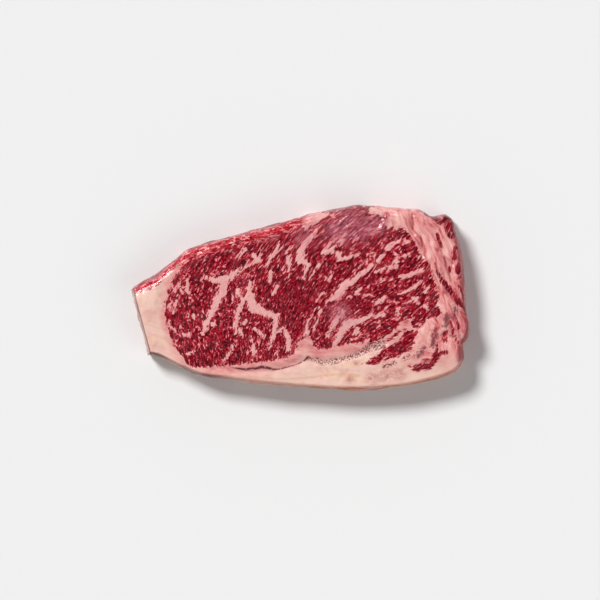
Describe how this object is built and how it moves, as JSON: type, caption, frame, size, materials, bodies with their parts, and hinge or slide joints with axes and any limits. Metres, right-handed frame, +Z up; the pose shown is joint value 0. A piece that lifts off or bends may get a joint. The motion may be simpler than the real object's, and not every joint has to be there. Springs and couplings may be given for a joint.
{
  "type": "raw sirloin steak",
  "caption": "Raw sirloin steak, finely marbled, lying flat, with a firm fat cap along its long side and soft folded fat at its thick end.",
  "frame": {"origin": "under the middle of the steak, on the surface it lies on", "axes": "+Z up out of the upper cut face; +X along the steak from its narrow cut end to the thick fatty end; +Y across it from the fat cap to the trimmed side"},
  "size_m": [0.1706, 0.0939, 0.021],
  "materials": {
    "raw_beef": "moist raw beef, deep red lean with pale pink marbling and cream fat"
  },
  "bodies": {
    "root": {"steak": "raw_beef"}
  },
  "joints": []
}
